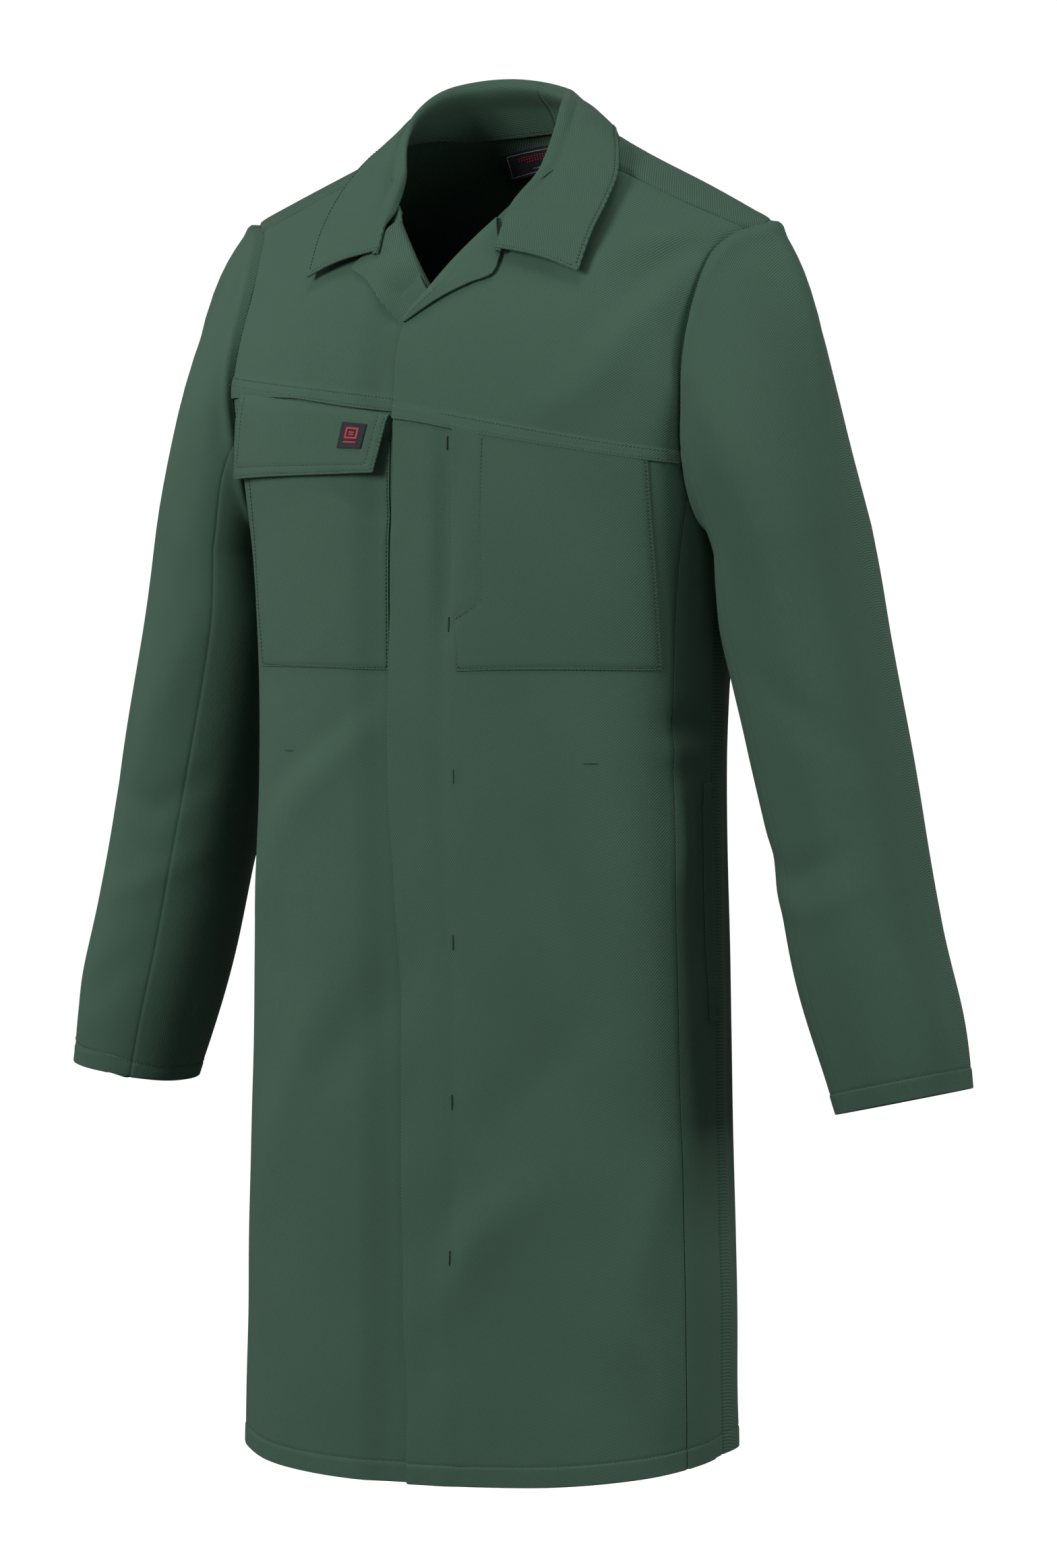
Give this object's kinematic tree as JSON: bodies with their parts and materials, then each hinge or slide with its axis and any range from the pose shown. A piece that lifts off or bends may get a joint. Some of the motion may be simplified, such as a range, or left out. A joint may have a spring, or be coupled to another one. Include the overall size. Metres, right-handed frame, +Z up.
{
  "type": "lab coat",
  "caption": "Knee-length men's lab coat in heavy twill, hidden snap front, notched collar, diagonal chest yoke, flap pocket, side-entry pocket.",
  "frame": {"origin": "centre of the back neck seam, on the body's centre plane, where a hanger hook or a stand neck holds the coat", "axes": "+Z up along the centre back, -Y out of the front, +X towards the wearer's left sleeve"},
  "size_m": [0.8111, 0.2394, 1.0831],
  "materials": {
    "green_twill": "heavy cotton and polyester twill, matt, steep diagonal ribs about 1.6 mm apart",
    "lining_side": "inner side of the twill and pocket cloth, matt",
    "thread": "dark green sewing thread",
    "woven_label": "dense dark woven tape with plain red and white bars",
    "snap_metal": "nickel plated brass snap"
  },
  "bodies": {
    "coat": {"back_left": "green_twill", "back_right": "green_twill", "front_side_left": "green_twill", "front_side_right": "green_twill", "front_yoke_left": "green_twill", "front_yoke_right": "green_twill", "lapel_left": "green_twill", "lapel_right": "green_twill", "collar_stand": "green_twill", "collar_fall": "green_twill", "neck_label": "woven_label", "side_welt_left": "green_twill", "side_welt_right": "green_twill", "snap_socket_top": "snap_metal", "snap_stud_top": "snap_metal"},
    "front_left": {"front_panel_left": "green_twill", "fly_strip": "lining_side", "chest_pocket_left": "green_twill", "pocket_bag_left": "lining_side", "bag_bartack_left": "thread", "snap_socket_1": "snap_metal", "snap_socket_2": "snap_metal", "snap_socket_3": "snap_metal", "snap_socket_4": "snap_metal", "snap_socket_5": "snap_metal", "fly_bartack_1": "thread", "fly_bartack_2": "thread", "fly_bartack_3": "thread", "fly_bartack_4": "thread", "fly_bartack_5": "thread", "fly_bartack_6": "thread"},
    "front_right": {"front_panel_right": "green_twill", "underlap_facing": "lining_side", "chest_pocket_right": "green_twill", "pocket_bag_right": "lining_side", "bag_bartack_right": "thread", "snap_stud_1": "snap_metal", "snap_stud_2": "snap_metal", "snap_stud_3": "snap_metal", "snap_stud_4": "snap_metal", "snap_stud_5": "snap_metal"},
    "flap": {"pocket_flap": "green_twill", "flap_patch": "woven_label"},
    "sleeve_left": {"sleeve_upper_left": "green_twill", "sleeve_under_left": "green_twill"},
    "sleeve_right": {"sleeve_upper_right": "green_twill", "sleeve_under_right": "green_twill"}
  },
  "joints": [
    {"name": "front_left_open", "type": "hinge", "parent": "coat", "child": "front_left", "pos_m": [0.19821, -0.14306, -0.653], "axis": [0, 0, 1], "range_deg": [0, 40]},
    {"name": "front_right_open", "type": "hinge", "parent": "coat", "child": "front_right", "pos_m": [-0.20208, -0.14306, -0.653], "axis": [0, 0, 1], "range_deg": [-24, 0]},
    {"name": "flap_lift", "type": "hinge", "parent": "front_right", "child": "flap", "pos_m": [-0.10781, -0.20329, -0.2115], "axis": [-0.9708, 0.2141, 0.1079], "range_deg": [0, 100]},
    {"name": "sleeve_left_swing", "type": "hinge", "parent": "coat", "child": "sleeve_left", "pos_m": [0.2385, -0.084, -0.067], "axis": [0, -1, 0], "range_deg": [0, 45]},
    {"name": "sleeve_right_swing", "type": "hinge", "parent": "coat", "child": "sleeve_right", "pos_m": [-0.2425, -0.084, -0.069], "axis": [0, 1, 0], "range_deg": [0, 45]}
  ],
  "couplings": [
    {"joint": "front_right_open", "follows": "front_left_open", "ratio": -0.6}
  ]
}
